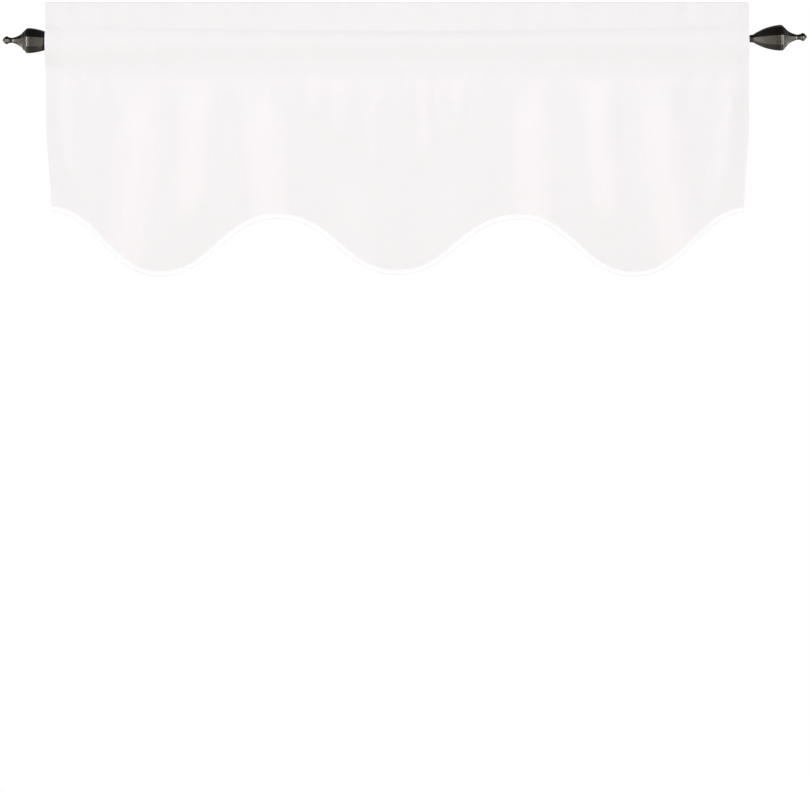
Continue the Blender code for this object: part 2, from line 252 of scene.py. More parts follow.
def upper_seam(x):
    reach = abs(x - cloth_middle) / (cloth_width / 2)
    return blend(seam_height_mid, seam_height_ends, reach**seam_sag_power) + lean(x)


def lower_seam(x):
    return lean(x) - lower_seam_drop


def outline(x):
    """Height of the tape's outer edge: a wave between turning points, a little fuller than a cosine."""
    for first, last in zip(scallop_turns, scallop_turns[1:]):
        if x <= last.x:
            break
    turn = math.pi * (x - first.x) / (last.x - first.x)
    wave = (math.cos(turn) - scallop_fullness * math.cos(3 * turn)) / (1 - scallop_fullness)
    return blend(last.z, first.z, (1 + wave) / 2)


def edge_stretch(x):
    """How much longer a vertical step is than one square to the sloping edge."""
    slope = (outline(x + mm) - outline(x - mm)) / (2 * mm)
    return math.hypot(1, slope)


def cloth_edge(x):
    return outline(x) + tape_wrap * edge_stretch(x)


def tape_line(x):
    """Height of the tape's upper rim, where it lies on the cloth."""
    return cloth_edge(x) + tape_cover * edge_stretch(x)


print(f"pocket {(upper_seam(cloth_middle) - lower_seam(cloth_middle)) / mm:.0f} mm high at the middle")

# %% [markdown]
# ## How the cloth leaves its flat plane
#
# Four things push it: the rod's gathers, the hanging folds, the curl of the lobes' tips, and the
# creases. Each is a function of a place on the cloth, so they can be added up at any point.


# %% Gathers, folds and curl
def gather_wave(x):
    """An uneven wave along the rod, from -1 to 1."""
    total = 0.0
    for gather in gathers:
        drift = gather.drift * math.sin(math.pi * (x - cloth_left) / cloth_width)
        total += gather.share * math.sin(math.tau * x / gather.length + gather.phase + drift)
    return total


def gather_depth(x, z):
    """How deep the gathers are: full at the top fold, slight at the seams, gone low on the panel."""
    if z >= upper_seam(x):
        rise = (z - upper_seam(x)) / (top_height - upper_seam(x))
        return blend(gather_seam, gather_top, ease(rise))
    if z >= lower_seam(x):
        return gather_seam
    below = lower_seam(x) - z
    growth = ease(below / gather_panel_peak)
    fade = 1 - ease((below - gather_panel_peak) / gather_panel_fade)
    return blend(gather_seam, gather_panel, growth) * fade


def fold_depth(x, z):
    """How far the panel stands forward of its mean plane."""
    down = (lower_seam(x) - z) / (lower_seam(x) - outline(x))
    forward = 0.0
    for fold in folds:
        across = (x - blend(fold.top_x, fold.hem_x, down)) / fold.width
        onset = fold_onset * (fold.end - fold.start)
        begins = ease((down - fold.start) / onset)
        ends = 1 - ease((down - fold.end) / onset)
        forward += fold.rise * math.exp(-across * across) * begins * ends
    return forward - mean_fold * ease(down / panel_onset)


def curl_depth(x, z):
    """The lobes' tips curl back, because nothing beside them holds them flat."""
    lobe = (arch_height - outline(x)) / (arch_height - lobe_height)
    near_edge = 1 - (z - outline(x)) / lobe_curl_height
    return lobe_curl * lobe * max(near_edge, 0.0) ** 2


print(f"highest fold {max(fold.rise for fold in folds) / mm:.0f} mm, gathers {gather_top / mm} mm deep")

# %% Creases, and the sum of them all
crumple_size = 34 * mm
crumple_aspect = 0.6
crumple_rise = 0.5 * mm
crease_reach = 3


def crease_depth(x, z):
    """How far the creases and a faint all-over crumple stand forward."""
    forward = crumple_rise * noise.noise(Vector((x, 0, z * crumple_aspect)) / crumple_size)
    for crease in creases:
        tilt = math.radians(crease.tilt)
        along = (x - crease.x) * math.sin(tilt) + (z - crease.z) * math.cos(tilt)
        across = (x - crease.x) * math.cos(tilt) - (z - crease.z) * math.sin(tilt)
        reach_squared = (along / crease.length) ** 2 + (across / crease.width) ** 2
        if reach_squared < crease_reach**2:
            forward += crease.rise * math.exp(-reach_squared)
    return forward


def ripple(x, z):
    """How far back the cloth's mean surface lies, before its layers are spread."""
    back = gather_wave(x) * gather_depth(x, z)
    if z < lower_seam(x):
        below = ease((lower_seam(x) - z) / gather_panel_peak)
        back += curl_depth(x, z) - fold_depth(x, z) - crease_depth(x, z) * below
    return back


print(f"below the pocket's middle the cloth lies {ripple(0, 2 * lower_seam(0)) / mm:.1f} mm back")

# %% [markdown]
# ## The finials' profile
#
# A finial closes the end of a rod. This one is an octagonal urn on a small collar, with two sharp
# rings and a bead at its widest, a flared neck and a ball. Its profile is listed in sections. Inside a
# section the line is smooth, and where two sections meet it has a corner. The cloth needs the profile
# too, because its left end reaches over the finial's base.

# %% Sizes of the finials
tip_to_tip = 1348 * mm
rod_radius = 6.35 * mm
finial_length = 92.5 * mm
finial_sides = 8
finial_seat = tip_to_tip / 2 - finial_length
left_finial_turn = math.radians(10)
right_finial_turn = math.radians(16)
left_finial_tilt = math.radians(1.2)
right_finial_tilt = math.radians(1.7)

Ring = namedtuple("Ring", "height radius")
ball = (
    Ring(height=92.5 * mm, radius=0.0),
    Ring(height=91.4 * mm, radius=1.8 * mm),
    Ring(height=90.4 * mm, radius=3.2 * mm),
    Ring(height=88.9 * mm, radius=5.0 * mm),
    Ring(height=87.2 * mm, radius=6.4 * mm),
    Ring(height=85.4 * mm, radius=6.9 * mm),
    Ring(height=83.8 * mm, radius=6.7 * mm),
    Ring(height=82.2 * mm, radius=5.6 * mm),
)
neck = (
    Ring(height=82.2 * mm, radius=5.6 * mm),
    Ring(height=80.5 * mm, radius=4.9 * mm),
    Ring(height=78.0 * mm, radius=4.6 * mm),
    Ring(height=75.5 * mm, radius=4.5 * mm),
    Ring(height=73.4 * mm, radius=5.0 * mm),
    Ring(height=71.3 * mm, radius=5.8 * mm),
    Ring(height=69.2 * mm, radius=6.6 * mm),
    Ring(height=66.7 * mm, radius=7.7 * mm),
    Ring(height=64.2 * mm, radius=9.2 * mm),
    Ring(height=61.7 * mm, radius=10.9 * mm),
    Ring(height=59.6 * mm, radius=12.9 * mm),
    Ring(height=58.2 * mm, radius=14.3 * mm),
)
bead = (
    Ring(height=58.2 * mm, radius=14.3 * mm),
    Ring(height=57.6 * mm, radius=15.4 * mm),
    Ring(height=56.8 * mm, radius=16.4 * mm),
    Ring(height=55.9 * mm, radius=16.9 * mm),
    Ring(height=55.4 * mm, radius=16.7 * mm),
)
upper_ring = (
    Ring(height=55.4 * mm, radius=16.7 * mm),
    Ring(height=54.6 * mm, radius=18.4 * mm),
    Ring(height=53.6 * mm, radius=19.7 * mm),
    Ring(height=53.0 * mm, radius=19.5 * mm),
)
lower_ring = (
    Ring(height=53.0 * mm, radius=19.5 * mm),
    Ring(height=52.6 * mm, radius=20.6 * mm),
    Ring(height=51.6 * mm, radius=21.5 * mm),
    Ring(height=50.4 * mm, radius=22.0 * mm),
    Ring(height=49.0 * mm, radius=22.3 * mm),
    Ring(height=48.3 * mm, radius=21.6 * mm),
)
urn = (
    Ring(height=48.3 * mm, radius=21.6 * mm),
    Ring(height=47.4 * mm, radius=22.2 * mm),
    Ring(height=45.4 * mm, radius=22.1 * mm),
    Ring(height=42.0 * mm, radius=21.6 * mm),
    Ring(height=38.7 * mm, radius=21.2 * mm),
    Ring(height=32.0 * mm, radius=19.8 * mm),
    Ring(height=25.3 * mm, radius=18.0 * mm),
    Ring(height=18.6 * mm, radius=15.6 * mm),
    Ring(height=12.0 * mm, radius=12.5 * mm),
    Ring(height=6.2 * mm, radius=9.5 * mm),
    Ring(height=3.6 * mm, radius=8.0 * mm),
)
collar = (
    Ring(height=3.6 * mm, radius=8.0 * mm),
    Ring(height=2.9 * mm, radius=7.0 * mm),
    Ring(height=0.0, radius=7.0 * mm),
)
sections = (ball, neck, bead, upper_ring, lower_ring, urn, collar)


def finial_radius_at(height):
    """The finial's radius across its corners at a height above its seat."""
    for section in sections:
        for upper, lower in zip(section, section[1:]):
            if lower.height <= height <= upper.height:
                share = (height - lower.height) / (upper.height - lower.height)
                return blend(lower.radius, upper.radius, share)
    raise ValueError("no part of the finial is at this height")


print(f"finials {finial_length / mm} mm long on a {2 * rod_radius / mm} mm rod")

# %% [markdown]
# ## The way the cloth goes
#
# The cloth is one surface that starts at its free edge behind the rod. It goes up the pocket's back
# and the ruffle's back, over the top fold, down the ruffle's front and the pocket's front, and then
# hangs to the scalloped edge. Each row of the mesh is a function that gives its point at x.

# %% The pocket
rod_clearance = 2.6 * mm
pocket_rise = 1.0
pocket_hang = 4 * mm
mouth_ease = 12 * mm


def pocket_half_width(x):
    """Half of the pocket's width, front to back: room for the rod, and at the left end for the finial."""
    room = rod_clearance + gather_seam + cloth_thickness / 2
    swallowed = -finial_seat - cloth_left
    slack = ease((x - cloth_left) / (swallowed + mouth_ease))
    return room + blend(finial_radius_at(swallowed), rod_radius, slack)


def pocket_bulge(x, share):
    """Share of the pocket's half width on the way down. It is widest just below the rod's middle."""
    peak = (upper_seam(x) + pocket_hang) / (upper_seam(x) - lower_seam(x))
    fall = pocket_rise * (1 / peak - 1)
    most = peak**pocket_rise * (1 - peak) ** fall
    return share**pocket_rise * (1 - share) ** fall / most


print(f"pocket {2 * pocket_half_width(0) / mm:.0f} mm deep for a {2 * rod_radius / mm} mm rod")

# %% Points on each stretch
header_opens = 0.16


def narrowed(x, z):
    """The sides draw in a little towards the hem."""
    share = ease((-z - draw_in_start) / (draw_in_end - draw_in_start))
    return x - hem_draw_in * share * (x - cloth_middle) / (cloth_width / 2)


def tail_end(x):
    return lower_seam(x) - seam_allowance


def tail_point(x, share):
    z = blend(lower_seam(x), tail_end(x), share)
    return Vector((narrowed(x, z), ripple(x, z) + seam_spread / 2, z))


def pocket_point(x, share, side):
    z = blend(upper_seam(x), lower_seam(x), share)
    spread = seam_spread / 2
    spread += (pocket_half_width(x) - spread) * pocket_bulge(x, share)
    return Vector((x, ripple(x, z) + side * spread, z))


def header_point(x, share, side):
    z = blend(upper_seam(x), top_height + lean(x) - header_spread / 2, share)
    spread = blend(seam_spread, header_spread, ease(share / header_opens)) / 2
    return Vector((x, ripple(x, z) + side * spread, z))


def top_point(x, share):
    z = top_height + lean(x) - header_spread / 2
    turn = math.pi * share
    back = header_spread / 2 * math.cos(turn)
    up = header_spread / 2 * math.sin(turn)
    return Vector((x, ripple(x, z) + back, z + up))


def panel_point(x, z):
    return Vector((narrowed(x, z), ripple(x, z) - seam_spread / 2, z))


print(f"top fold {top_point(0, 0.5).z / mm:.0f} mm above the rod's axis")

# %% [markdown]
# ## The rows, in order
#
# Rows stand closer where the cloth turns sharply: at the seams, over the top fold and under the tape.
# Shares spaced by a cosine crowd at both ends of a stretch, which suits the pocket between its seams.

# %% Rows of the cloth
columns = 400
tail_shares = (1.0, 0.6, 0.25)
pocket_steps = 13
header_steps = 8
top_steps = 4
panel_steps = 48
edge_steps = 3


def crowded(steps):
    """Shares from 0 to 1 that stand closer near both ends."""
    return [(1 - math.cos(math.pi * step / steps)) / 2 for step in range(steps + 1)]


def even(steps):
    return [step / steps for step in range(steps + 1)]


def even_xs():
    return [blend(cloth_left, cloth_right, share) for share in even(columns)]


def cloth_rows():
    back, front = 1, -1
    rows = [lambda x, t=t: tail_point(x, t) for t in tail_shares]
    rows += [lambda x, t=t: pocket_point(x, t, back) for t in reversed(crowded(pocket_steps))]
    rows += [lambda x, t=t: header_point(x, t, back) for t in even(header_steps)[1:]]
    rows += [lambda x, t=t: top_point(x, t) for t in even(top_steps)[1:-1]]
    rows += [lambda x, t=t: header_point(x, t, front) for t in reversed(even(header_steps)[1:])]
    rows += [lambda x, t=t: pocket_point(x, t, front) for t in crowded(pocket_steps)]
    for t in even(panel_steps)[1:]:
        rows.append(lambda x, t=t: panel_point(x, blend(lower_seam(x), tape_line(x), t)))
    for t in even(edge_steps)[1:]:
        rows.append(lambda x, t=t: panel_point(x, blend(tape_line(x), cloth_edge(x), t)))
    return rows


print(len(cloth_rows()), "rows of", columns, "steps")

# %% [markdown]
# ## A sheet from rows
#
# A grid from bmesh has the right number of faces and a UV map. Its vertices are then moved to the
# rows' points, and its UVs to distances on the flat cloth in metres, so that a weave drawn on them
# keeps its size over every fold. Lengths are measured down the middle and widths across the panel,
# because they are nearly the same everywhere. Each vertex also keeps how much painted shade the cloth's
# colour gets there, for the finish. Solidify gives the sheet its thickness, and its cut edges are marked
# sharp so that they don't shade the cloth beside them.


# %% Add a piece, and measure along the cloth
def add_piece(name, cells):
    """An object at the origin that holds the finished bmesh and moves with the valance."""
    mesh = bpy.data.meshes.new(name)
    cells.to_mesh(mesh)
    cells.free()
    piece = bpy.data.objects.new(name, mesh)
    bpy.context.collection.objects.link(piece)
    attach(piece, "root")
    return piece


def distances(rows, x):
    """How far each row is along the cloth from the first one, measured at x."""
    points = [row(x) for row in rows]
    travelled = [0.0]
    for first, last in zip(points, points[1:]):
        travelled.append(travelled[-1] + (last - first).length)
    return travelled


print(f"the cloth is {distances(cloth_rows(), cloth_middle)[-1]:.3f} m long at its middle")

# %% Painted shade on the cloth
header_painted_shade = 0.9
pocket_painted_shade = 0.7
valley_painted_shade = 0.72


def painted_shade(x, z):
    """Painted shade for the cloth's colour: 0 on a fold's ridge, more in a valley, and most at the flat
    header.
    """
    if z > upper_seam(x):
        return header_painted_shade
    if z > lower_seam(x):
        return pocket_painted_shade
    panel = valley_painted_shade * (1 - ease((fold_depth(x, z) + mean_fold) / (2 * mean_fold)))
    return blend(header_painted_shade, panel, ease((lower_seam(x) - z) / gather_panel_peak))


print(f"a valley is {valley_painted_shade / header_painted_shade:.0%} as grey as the header")

# %% Make a sheet
width_level = -200 * mm


def sheet_from_rows(name, rows, thickness):
    """A sheet through its rows, with distances as UVs, its painted shade and a thickness."""
    cells = bmesh.new()
    flat = cells.loops.layers.uv.new("flat cloth")
    # The grey layer holds painted shade for the cloth's colour: more in valleys, the pocket and the header
    grey = cells.verts.layers.float.new("grey")
    bmesh.ops.create_grid(cells, x_segments=columns, y_segments=len(rows) - 1, size=0.5, calc_uvs=True)
    travelled = distances(rows, cloth_middle)
    across_cloth = distances([lambda z, x=x: panel_point(x, z) for x in even_xs()], width_level)
    for face in cells.faces:
        face.smooth = True
        for corner in face.loops:
            column = round((corner.vert.co.x + 0.5) * columns)
            row = round((corner.vert.co.y + 0.5) * (len(rows) - 1))
            corner[flat].uv = (across_cloth[column], travelled[row])
    for vert in cells.verts:
        row = round((vert.co.y + 0.5) * (len(rows) - 1))
        x = blend(cloth_left, cloth_right, vert.co.x + 0.5)
        vert.co = rows[row](x)
        vert[grey] = painted_shade(x, vert.co.z)
    for edge in cells.edges:
        edge.smooth = not edge.is_boundary
    piece = add_piece(name, cells)
    shell = piece.modifiers.new("Thickness", "SOLIDIFY")
    shell.thickness = thickness
    shell.offset = 0
    return piece


cloth = sheet_from_rows("valance_cloth", cloth_rows(), cloth_thickness)
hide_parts("valance_panel")
print("cloth:", len(cloth.data.polygons), "faces before its thickness")

# %% [markdown]
# ## The tape
#
# The scalloped edge is bound: a narrow woven tape lies on the front, turns round the edge and lies on
# the back. Its section is a U, laid square to the edge at every x so that it keeps its width on the
# slopes.

# %% Make the tape
tape_shares = (0.0, 0.2, 0.45, 0.7, 0.95, 1.0)
wrap_steps = 8
Row = namedtuple("Row", "up out back")


def tape_rows():
    """The rows of the tape: down the front of the cloth's edge, under it and up behind it."""
    lie = cloth_thickness / 2 + tape_gap + tape_thickness / 2
    section = [Row(up=t, out=0.0, back=-lie) for t in reversed(tape_shares)]
    for t in even(wrap_steps)[1:-1]:
        turn = math.pi * t
        section.append(Row(up=0.0, out=lie * math.sin(turn), back=-lie * math.cos(turn)))
    section += [Row(up=t, out=0.0, back=lie) for t in tape_shares]

    def point(x, row):
        z = blend(cloth_edge(x), tape_line(x), row.up)
        place = panel_point(x, z)
        along = panel_point(x + mm, blend(cloth_edge(x + mm), tape_line(x + mm), row.up)) - place
        down = panel_point(x, z - mm) - place
        outwards = (down - down.project(along)).normalized()
        backwards = along.cross(outwards).normalized()
        if backwards.y < 0:
            backwards.negate()
        return place + outwards * row.out + backwards * row.back

    return [lambda x, row=row: point(x, row) for row in section]


tape = sheet_from_rows("scallop_tape", tape_rows(), tape_thickness)
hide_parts("scallop_binding")
print("tape:", len(tape.data.polygons), "faces before its thickness")

# %% [markdown]
# ## Stitching
#
# Both seams of the pocket, the two side hems and the tape are sewn with white thread. One stitch is a
# tiny ball stretched into a grain, half sunk into the cloth. Real thread is about 0.3 mm thick, which
# is too fine to see in the whole valance, so it is drawn at 0.5 mm.

# %% Sew along a line
stitch_length = 2.4 * mm
stitch_pitch = 3.4 * mm
thread_width = 0.5 * mm


def sew(cells, path, side):
    """Stitches at an even pitch along a line. Side is -1 for the cloth's front and 1 for its back."""
    outward = Vector((0, side, 0))
    left = stitch_pitch / 2
    count = 0
    for first, last in zip(path, path[1:]):
        step = last - first
        while left <= step.length:
            along = step.normalized()
            across = outward.cross(along).normalized()
            up = along.cross(across)
            axes = Matrix((along, across, up)).transposed().to_4x4()
            size = Matrix.Diagonal((stitch_length / 2, thread_width / 2, thread_width / 2, 1))
            place = Matrix.Translation(first + along * left)
            bmesh.ops.create_icosphere(cells, subdivisions=1, radius=1, matrix=place @ axes @ size)
            left += stitch_pitch
            count += 1
        left -= step.length
    return count


print(f"stitches {stitch_length / mm} mm long, every {stitch_pitch / mm} mm")

# %% Where the stitches lie
tape_stitch_share = 0.8
side_hem = 13 * mm
side_hem_start = 4 * mm
side_hem_end = 2 * mm
side_hem_steps = 70


def seam_line(height, side):
    half = seam_spread / 2 + cloth_thickness / 2
    return [Vector((x, ripple(x, height(x)) + side * half, height(x))) for x in even_xs()[2:-2]]


def tape_stitches(side):
    lift = Vector((0, side * tape_wrap, 0))
    line = []
    for x in even_xs()[1:-1]:
        line.append(panel_point(x, blend(cloth_edge(x), tape_line(x), tape_stitch_share)) + lift)
    return line


def side_stitches(x, side):
    top, bottom = lower_seam(x) - side_hem_start, tape_line(x) + side_hem_end
    lift = Vector((0, side * cloth_thickness / 2, 0))
    return [panel_point(x, blend(top, bottom, share)) + lift for share in even(side_hem_steps)]


print(len(seam_line(upper_seam, -1)), "points along a seam")

# %% Lay the stitches
thread = bmesh.new()
stitches = 0
for side in (-1, 1):
    stitches += sew(thread, seam_line(upper_seam, side), side)
    stitches += sew(thread, seam_line(lower_seam, side), side)
    stitches += sew(thread, tape_stitches(side), side)
    stitches += sew(thread, side_stitches(cloth_left + side_hem, side), side)
    stitches += sew(thread, side_stitches(cloth_right - side_hem, side), side)
stitching = add_piece("seam_stitching", thread)
stitching.data.shade_smooth()
print(stitches, "stitches")

# %% [markdown]
# ## The cut cloth
#
# Laid flat, the cloth is a rectangle of 1.32 m by 0.58 m with scallops cut out of one long side. On
# the rod it is gathered to nine tenths of its width.

# %% [markdown]
# ## The finials
#
# A casting like this copies a master that was turned and then ground to eight faces. The profile is
# spun in eight steps, so the faces come out flat across and curved along. The eight long corners are
# then bevelled, by a share of the face's width, because a real casting is never razor sharp and a bevel
# catches the light. Where two bevels meet at a groove, some points fall together, and are merged.

# %% Smooth each section
ring_steps = 3


def smoothed(section):
    """Points on a smooth line through a section's rings."""
    points = [Vector((ring.radius, 0, ring.height)) for ring in section]
    line = []
    for index, (first, last) in enumerate(zip(points, points[1:])):
        before = points[index - 1] if index else first
        after = points[index + 2] if index + 2 < len(points) else last
        for step in range(ring_steps):
            t = step / ring_steps
            pull_in = (last - before) / 2 * (t**3 - 2 * t**2 + t)
            pull_out = (after - first) / 2 * (t**3 - t**2)
            line.append(first.lerp(last, ease(t)) + pull_in + pull_out)
    return line


print(len(sections), "sections with", sum(len(smoothed(section)) for section in sections), "points")

# %% Find the long corners
tip_margin = 2 * mm
shortest_corner = 0.1 * mm
same_angle = 0.01


def runs_lengthways(edge):
    """True for a long corner of the octagon, away from the closed tips."""
    first, last = (vert.co for vert in edge.verts)
    turned = abs(math.atan2(first.y, first.x) - math.atan2(last.y, last.x))
    outside = min(first.xy.length, last.xy.length) > tip_margin and first.z + last.z > 0
    return turned < same_angle and outside and abs(first.z - last.z) > shortest_corner


print(f"corners are bevelled from {tip_margin / mm:.0f} mm off the axis outwards")

# %% Spin the profile and bevel its corners
plug_radius = 4 * mm
plug_length = 18 * mm
corner_percent = 4
crisp_angle = math.radians(28)
weld_distance = 0.01 * mm


def octagonal_casting():
    """The profile spun in eight steps, with its long corners bevelled. It stands on its seat."""
    cells = bmesh.new()
    line = [point for section in sections for point in smoothed(section)]
    last = collar[-1]
    line.append(Vector((last.radius, 0, last.height)))
    line += [Vector((plug_radius, 0, 0)), Vector((plug_radius, 0, -plug_length))]
    line.append(Vector((0, 0, -plug_length)))
    verts = [cells.verts.new(point) for point in line]
    edges = [cells.edges.new(pair) for pair in zip(verts, verts[1:])]
    bmesh.ops.spin(
        cells,
        geom=verts + edges,
        cent=(0, 0, 0),
        axis=(0, 0, 1),
        angle=math.tau,
        steps=finial_sides,
        use_merge=True,
        use_duplicate=False,
    )
    bmesh.ops.remove_doubles(cells, verts=cells.verts, dist=weld_distance)
    bmesh.ops.recalc_face_normals(cells, faces=cells.faces)
    corners = [edge for edge in cells.edges if runs_lengthways(edge)]
    bmesh.ops.bevel(
        cells,
        geom=corners,
        offset=corner_percent,
        offset_type="PERCENT",
        affect="EDGES",
        segments=2,
        profile=0.5,
        material=-1,
    )
    bmesh.ops.remove_doubles(cells, verts=cells.verts, dist=weld_distance)
    for face in cells.faces:
        face.smooth = True
    for edge in cells.edges:
        if edge.is_manifold and edge.calc_face_angle() > crisp_angle:
            edge.smooth = False
    return cells


print(f"plug {2 * plug_radius / mm:.0f} mm across and {plug_length / mm:.0f} mm long")


# %% Lay the finials on the rod's ends
def add_finial(name, side, turn, tilt):
    """A casting that is laid down, turned about the rod, tilted and seated on its end."""
    cells = octagonal_casting()
    lay_down = Matrix.Rotation(side * math.radians(90), 4, "Y")
    half_face = math.pi / finial_sides
    about_rod = Matrix.Rotation(turn + half_face, 4, "X")
    lift = Matrix.Rotation(-side * tilt, 4, "Y")
    place = Matrix.Translation((side * finial_seat, 0, 0)) @ lift @ about_rod @ lay_down
    bmesh.ops.transform(cells, matrix=place, verts=cells.verts)
    finial = add_piece(name, cells)
    shading = finial.modifiers.new("Flat faces", "WEIGHTED_NORMAL")
    shading.keep_sharp = True
    return finial


finial_left = add_finial("urn_finial_left", -1, left_finial_turn, left_finial_tilt)
finial_right = add_finial("urn_finial_right", 1, right_finial_turn, right_finial_tilt)
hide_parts("finial_left")
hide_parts("finial_right")
for finial in (finial_left, finial_right):
    print(finial.name, len(finial.data.polygons), "faces")

# %% [markdown]
# ## Colours and nodes
#
# Colours are written as the hex values that a screen shows. A shader needs them linear, so one
# function turns them. Another small function adds a node with its settings and links, and a third puts
# stops on a colour ramp, which has two when it is new.


# %% Helpers for materials
def colour(code):
    """A screen's hex colour as a linear one."""
    values = [int(code[start : start + 2], 16) / 255 for start in (0, 2, 4)]
    linear = [v / 12.92 if v <= 0.04045 else ((v + 0.055) / 1.055) ** 2.4 for v in values]
    return (*linear, 1.0)


def add_node(tree, kind, settings=None, links=None):
    """One node. Settings are its properties or its sockets' values, and links feed its sockets."""
    item = tree.nodes.new(kind)
    for name, value in (settings or {}).items():
        if isinstance(name, str) and hasattr(item, name):
            setattr(item, name, value)
        else:
            item.inputs[name].default_value = value
    for name, source in (links or {}).items():
        tree.links.new(source, item.inputs[name])
    return item


def set_stops(ramp, stops):
    """Give a colour ramp its stops, each a place from 0 to 1 and a linear colour, in order."""
    elements = ramp.elements
    for element, (place, tint) in zip(elements, (stops[0], stops[-1])):
        element.position = place
        element.color = tint
    for place, tint in stops[1:-1]:
        elements.new(place).color = tint


def new_finish(name, settings):
    """A material with a Principled shader, and the shader itself."""
    finish = bpy.data.materials.new(name)
    finish.use_nodes = True
    shader = finish.node_tree.nodes["Principled BSDF"]
    for socket, value in settings.items():
        shader.inputs[socket].default_value = value
    return finish, finish.node_tree, shader


def wave_scale(pitch):
    """The scale at which a Wave texture, which multiplies a place by 20, has one band per pitch."""
    return math.tau / (20 * pitch)


print(f"a screen's middle grey is {colour('808080')[0]:.2f} of white in linear light")

# %% [markdown]
# ## White microfibre
#
# Brushed polyester microfibre is woven so finely that its threads don't show. It scatters light evenly
# and has a soft bloom where it turns away, which is sheen. What the eye does see is a faint unevenness
# of the yarn. The colour is also darkened a little by painted shade where the room's light reaches last:
# in the valleys between folds, and along the pocket and the header, whose small gathers shade one
# another. The weave is about 0.25 mm from thread to thread, drawn here at 1.2 mm.

# %% The cloth's finish
weave_pitch = 1.2 * mm
slub_length = 22 * mm
slub_width = 3 * mm

microfibre, tree, shader = new_finish(
    "white brushed microfibre",
    {"Roughness": 0.88, "Sheen Weight": 0.15, "Sheen Roughness": 0.5, "Specular IOR Level": 0.3},
)
flat = add_node(tree, "ShaderNodeUVMap", {"uv_map": "flat cloth"})
warp, weft = (
    add_node(
        tree,
        "ShaderNodeTexWave",
        {"wave_type": "BANDS", "bands_direction": way, "Scale": wave_scale(weave_pitch), "Distortion": 0.6},
        {"Vector": flat.outputs["UV"]},
    )
    for way in ("X", "Y")
)
weave = add_node(
    tree,
    "ShaderNodeMath",
    {"operation": "MULTIPLY"},
    {0: warp.outputs["Fac"], 1: weft.outputs["Fac"]},
)
stretched = add_node(
    tree,
    "ShaderNodeMapping",
    {"Scale": (1 / slub_width, 1 / slub_length, 1)},
    {"Vector": flat.outputs["UV"]},
)
slubs = add_node(
    tree, "ShaderNodeTexNoise", {"Scale": 1.0, "Detail": 3.0}, {"Vector": stretched.outputs["Vector"]}
)
# Painted shade: the grey attribute moves the colour from a pinkish white on ridges to a greyer white in
# valleys, pocket and header
depth = add_node(tree, "ShaderNodeAttribute", {"attribute_name": "grey"})
shade = add_node(tree, "ShaderNodeValToRGB", links={"Fac": depth.outputs["Fac"]})
set_stops(shade.color_ramp, [(0.0, colour("fbf7f8")), (1.0, colour("f5f2f3"))])
streaks = add_node(tree, "ShaderNodeValToRGB", links={"Fac": slubs.outputs["Fac"]})
set_stops(streaks.color_ramp, [(0.25, colour("fefefe")), (0.75, colour("ffffff"))])
# A Mix node takes its two colours at inputs 6 and 7 and gives the mixed one at output 2
tone = add_node(
    tree,
    "ShaderNodeMix",
    {"data_type": "RGBA", "blend_type": "MULTIPLY", 0: 1.0},
    {6: shade.outputs["Color"], 7: streaks.outputs["Color"]},
)
tree.links.new(tone.outputs[2], shader.inputs["Base Color"])
bump = add_node(
    tree, "ShaderNodeBump", {"Strength": 0.12, "Distance": 0.2 * mm}, {"Height": weave.outputs["Value"]}
)
tree.links.new(bump.outputs["Normal"], shader.inputs["Normal"])
cloth.data.materials.append(microfibre)
print(microfibre.name)

# %% [markdown]
# ## Bleached cotton tape
#
# The tape is bleached cotton, so it is whiter than the cloth. Bleached cotton is finished with an
# optical brightener, which gives back a little more visible light than falls on it. It is drawn as a
# faint glow, which is also painted light: it lifts the tape above the cloth and lightens its turned-under
# edge. The tape is ribbed across its width, with ribs about 0.5 mm apart that are drawn at 1.5 mm,
# because finer ones would blur together in the picture.

# %% The tape's finish
rib_pitch = 1.5 * mm
# Painted light: a faint white glow on the tape
painted_glow = 0.025

cotton, tree, shader = new_finish(
    "bleached cotton tape",
    {
        "Roughness": 0.8,
        "Sheen Weight": 0.1,
        "Specular IOR Level": 0.3,
        "Emission Color": (1, 1, 1, 1),
        "Emission Strength": painted_glow,
    },
)
flat = add_node(tree, "ShaderNodeUVMap", {"uv_map": "flat cloth"})
ribs = add_node(
    tree,
    "ShaderNodeTexWave",
    {"wave_type": "BANDS", "bands_direction": "X", "Scale": wave_scale(rib_pitch), "Distortion": 0.3},
    {"Vector": flat.outputs["UV"]},
)
shade = add_node(tree, "ShaderNodeValToRGB", links={"Fac": ribs.outputs["Fac"]})
set_stops(shade.color_ramp, [(0.0, colour("fcfcfc")), (1.0, colour("ffffff"))])
tree.links.new(shade.outputs["Color"], shader.inputs["Base Color"])
bump = add_node(
    tree, "ShaderNodeBump", {"Strength": 0.2, "Distance": 0.2 * mm}, {"Height": ribs.outputs["Fac"]}
)
tree.links.new(bump.outputs["Normal"], shader.inputs["Normal"])
tape.data.materials.append(cotton)
print(cotton.name)

# %% [markdown]
# ## Sewing thread
#
# The thread is spun polyester, as white as the cloth and smoother, so it is given a lower roughness.
# At this size its twist is no more than a slight unevenness of tone, which a noise texture draws.

# %% The thread's finish
twist_pitch = 2 * mm

